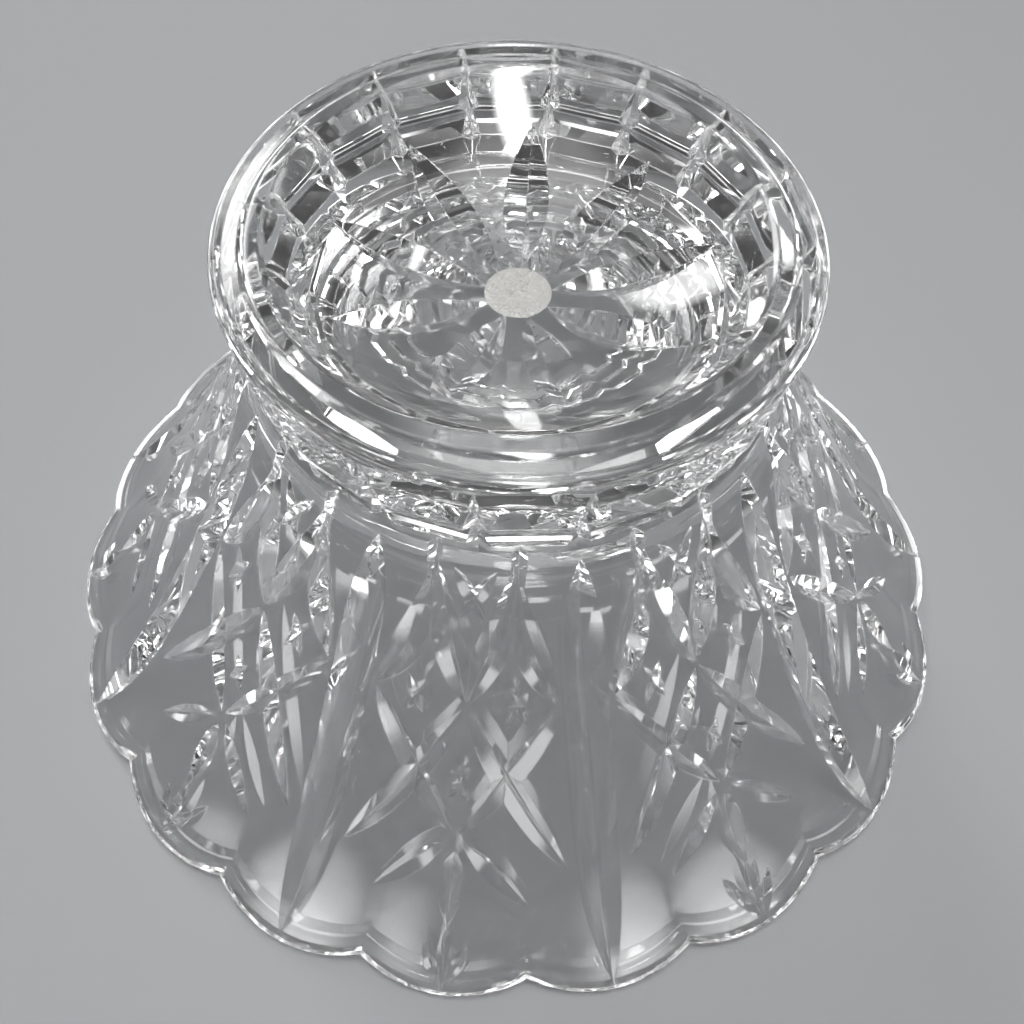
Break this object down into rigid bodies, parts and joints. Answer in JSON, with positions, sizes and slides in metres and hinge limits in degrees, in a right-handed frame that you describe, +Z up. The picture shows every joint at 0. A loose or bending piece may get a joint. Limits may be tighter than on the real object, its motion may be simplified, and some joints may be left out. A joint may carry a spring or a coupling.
{
  "type": "crystal serving bowl",
  "caption": "Footed crystal serving bowl with a scalloped rim, cut lances and sprigs on its flaring wall, and a panelled foot with a star in its dish, stored turned over on its rim.",
  "frame": {"origin": "on the bowl's axis, in the plane of the table that the lowest points of the scalloped rim stand on", "axes": "+Z up along the bowl's axis from the rim to the foot, as pictured; -Y towards a lance cut; in use the part is turned half over about X so that it stands on its foot"},
  "size_m": [0.2156, 0.2184, 0.122],
  "materials": {
    "lead_crystal": "clear, fire-polished lead crystal with polished mitre cuts"
  },
  "bodies": {
    "root": {"bowl": "lead_crystal", "wafer": "lead_crystal", "foot": "lead_crystal"}
  },
  "joints": []
}
